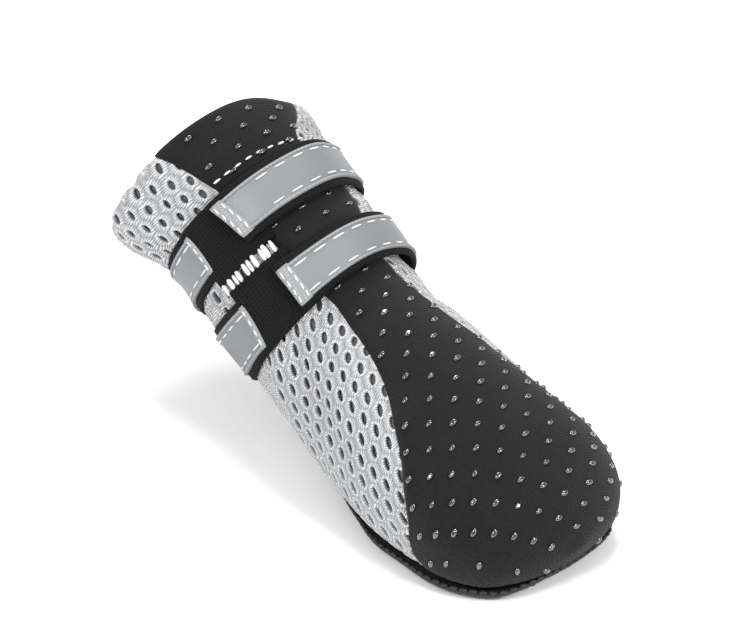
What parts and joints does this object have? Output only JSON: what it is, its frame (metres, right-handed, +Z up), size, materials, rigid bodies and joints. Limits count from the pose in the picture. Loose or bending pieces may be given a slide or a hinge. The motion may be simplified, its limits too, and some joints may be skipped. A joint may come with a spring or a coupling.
{
  "type": "dog boot",
  "caption": "Soft dog boot with a black dotted vamp, a grey air-mesh back, a sewn studded sole and hook-and-loop straps round a leaning shaft.",
  "frame": {"origin": "centre of the bounding box at floor level, under the middle of the boot", "axes": "+Z up, toe towards -Y, back of the collar towards +Y, wearer's right at -X"},
  "size_m": [0.0468, 0.1136, 0.0646],
  "materials": {
    "upper_cloth": "grey air mesh and black vamp cloth with raised rubber dots",
    "sole_rubber": "matte, fine round studs",
    "insole_foam": "thin foam with a cloth face",
    "strap_webbing": "black hook-and-loop webbing under grey reflective tape"
  },
  "bodies": {
    "root": {"upper": "upper_cloth", "sole": "sole_rubber", "insole": "insole_foam", "lower_strap": "strap_webbing", "upper_strap": "strap_webbing"}
  },
  "joints": []
}
